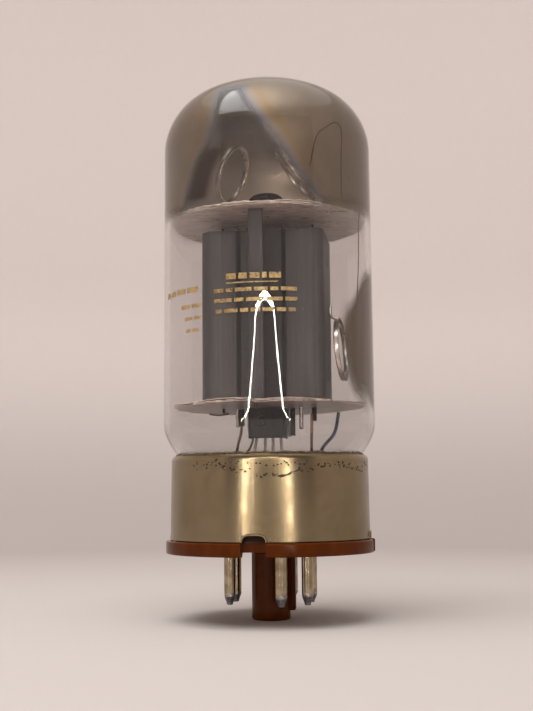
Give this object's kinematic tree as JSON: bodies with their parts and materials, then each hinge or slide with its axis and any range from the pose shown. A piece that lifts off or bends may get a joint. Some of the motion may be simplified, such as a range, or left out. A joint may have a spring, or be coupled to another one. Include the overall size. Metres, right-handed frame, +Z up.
{
  "type": "vacuum tube",
  "caption": "Glass beam power tube with a smoked dome, electrode cage between mica discs, getter rings and a metal-sleeved octal plug base.",
  "frame": {"origin": "where the tube's axis meets the seating plane, the underside of the base rim, where the socket holds it", "axes": "+Z up the axis to the dome, +X towards the locating key, -Y out of the anode's front fin"},
  "size_m": [0.0444, 0.0444, 0.1145],
  "materials": {
    "glass": "clear soda glass, smoked by getter film over the dome",
    "nickel_plate": "satin nickel plate, aged warm",
    "phenolic": "moulded brown phenolic, satin",
    "cement": "basing cement",
    "pin_metal": "nickel-plated brass with soldered tip",
    "copper": "oxidised copper-clad wire",
    "mica": "split mica with a dull insulating coat",
    "anode_coat": "dark grey carbonised nickel",
    "nickel": "bright nickel",
    "dark_nickel": "blackened nickel sheet",
    "grid_wire": "gold-plated fine wire",
    "cathode_coat": "white emissive coating on nickel",
    "heater_coat": "white alumina coating on tungsten",
    "blued_strap": "heat-blued nickel strap"
  },
  "bodies": {
    "root": {"glass_envelope": "glass", "glass_stem": "glass", "exhaust_tip": "glass", "base_shell": "nickel_plate", "base_wafer": "phenolic", "base_cement": "cement", "pin_1": "pin_metal", "pin_2": "pin_metal", "pin_3": "pin_metal", "pin_4": "pin_metal", "pin_5": "pin_metal", "pin_7": "pin_metal", "pin_8": "pin_metal", "shell_ground_strap": "nickel", "base_wire_2": "copper", "base_wire_3": "copper", "base_wire_4": "copper", "base_wire_5": "copper", "base_wire_7": "copper", "base_wire_8": "copper", "top_mica": "mica", "bottom_mica": "mica", "anode_left": "anode_coat", "anode_right": "anode_coat", "beam_plate_left": "dark_nickel", "beam_plate_right": "dark_nickel", "control_grid_rod_left": "nickel", "control_grid_rod_right": "nickel", "control_grid_winding": "grid_wire", "screen_grid_rod_left": "nickel", "screen_grid_rod_right": "nickel", "screen_grid_winding": "grid_wire", "cathode_sleeve": "cathode_coat", "heater_left": "heater_coat", "heater_right": "heater_coat", "grid_radiator": "dark_nickel", "lower_shield": "dark_nickel", "heater_lead_2": "nickel", "heater_lead_7": "nickel", "control_grid_lead": "copper", "screen_grid_lead": "dark_nickel", "cathode_lead": "copper", "anode_lead": "blued_strap", "getter_ring_left": "nickel", "getter_stalk_left": "nickel", "getter_ring_right": "nickel", "getter_stalk_right": "nickel", "getter_ring_side": "nickel", "getter_stalk_side": "nickel"}
  },
  "joints": []
}
